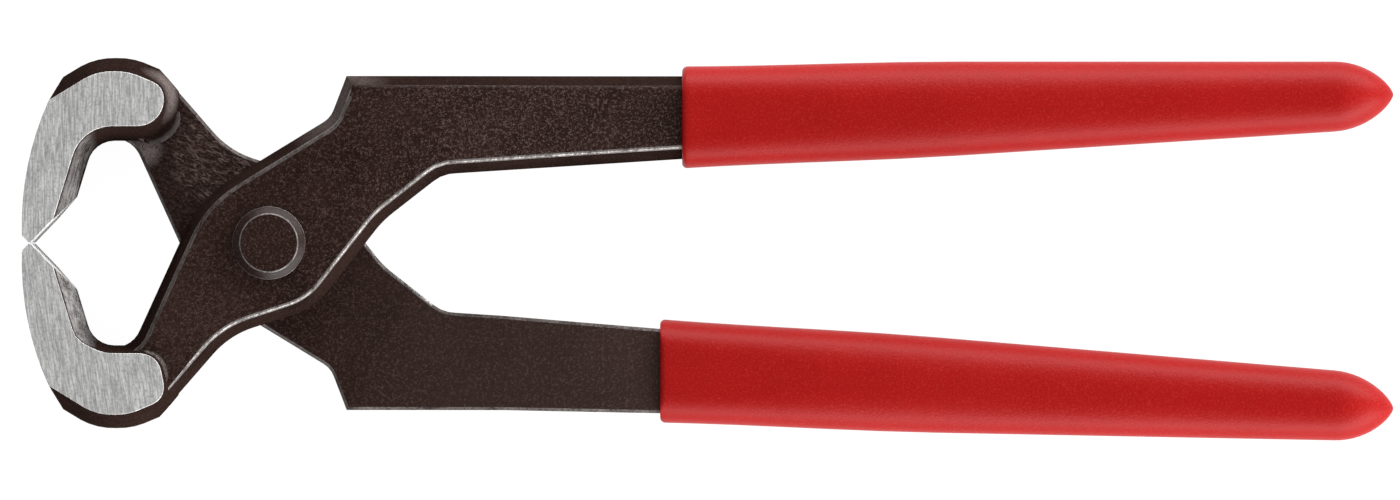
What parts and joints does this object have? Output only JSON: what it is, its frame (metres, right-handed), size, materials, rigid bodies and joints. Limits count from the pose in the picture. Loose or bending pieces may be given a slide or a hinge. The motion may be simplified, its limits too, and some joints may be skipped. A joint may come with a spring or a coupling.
{
  "type": "end cutting nippers",
  "caption": "End cutting nippers with forged levers lapped on a rivet, hooked ground jaws that close on a straight cutting edge, and dipped vinyl grips.",
  "frame": {"origin": "below the middle of the closed tool's box, on the plane it lies on", "axes": "+X along the handles away from the jaws, +Y across the handles towards the front lever's handle, +Z along the rivet"},
  "size_m": [0.2, 0.0559, 0.022],
  "materials": {
    "forged_steel": "satin",
    "red_vinyl": "satin"
  },
  "bodies": {
    "front_half": {"front_lever": "forged_steel", "front_grip": "red_vinyl", "pivot_rivet": "forged_steel"},
    "rear_half": {"rear_lever": "forged_steel", "rear_grip": "red_vinyl"}
  },
  "joints": [
    {"name": "jaw_pivot", "type": "hinge", "parent": "front_half", "child": "rear_half", "pos_m": [-0.0641, 0.00087, 0.011], "axis": [0, 0, -1], "range_deg": [0, 48]}
  ]
}
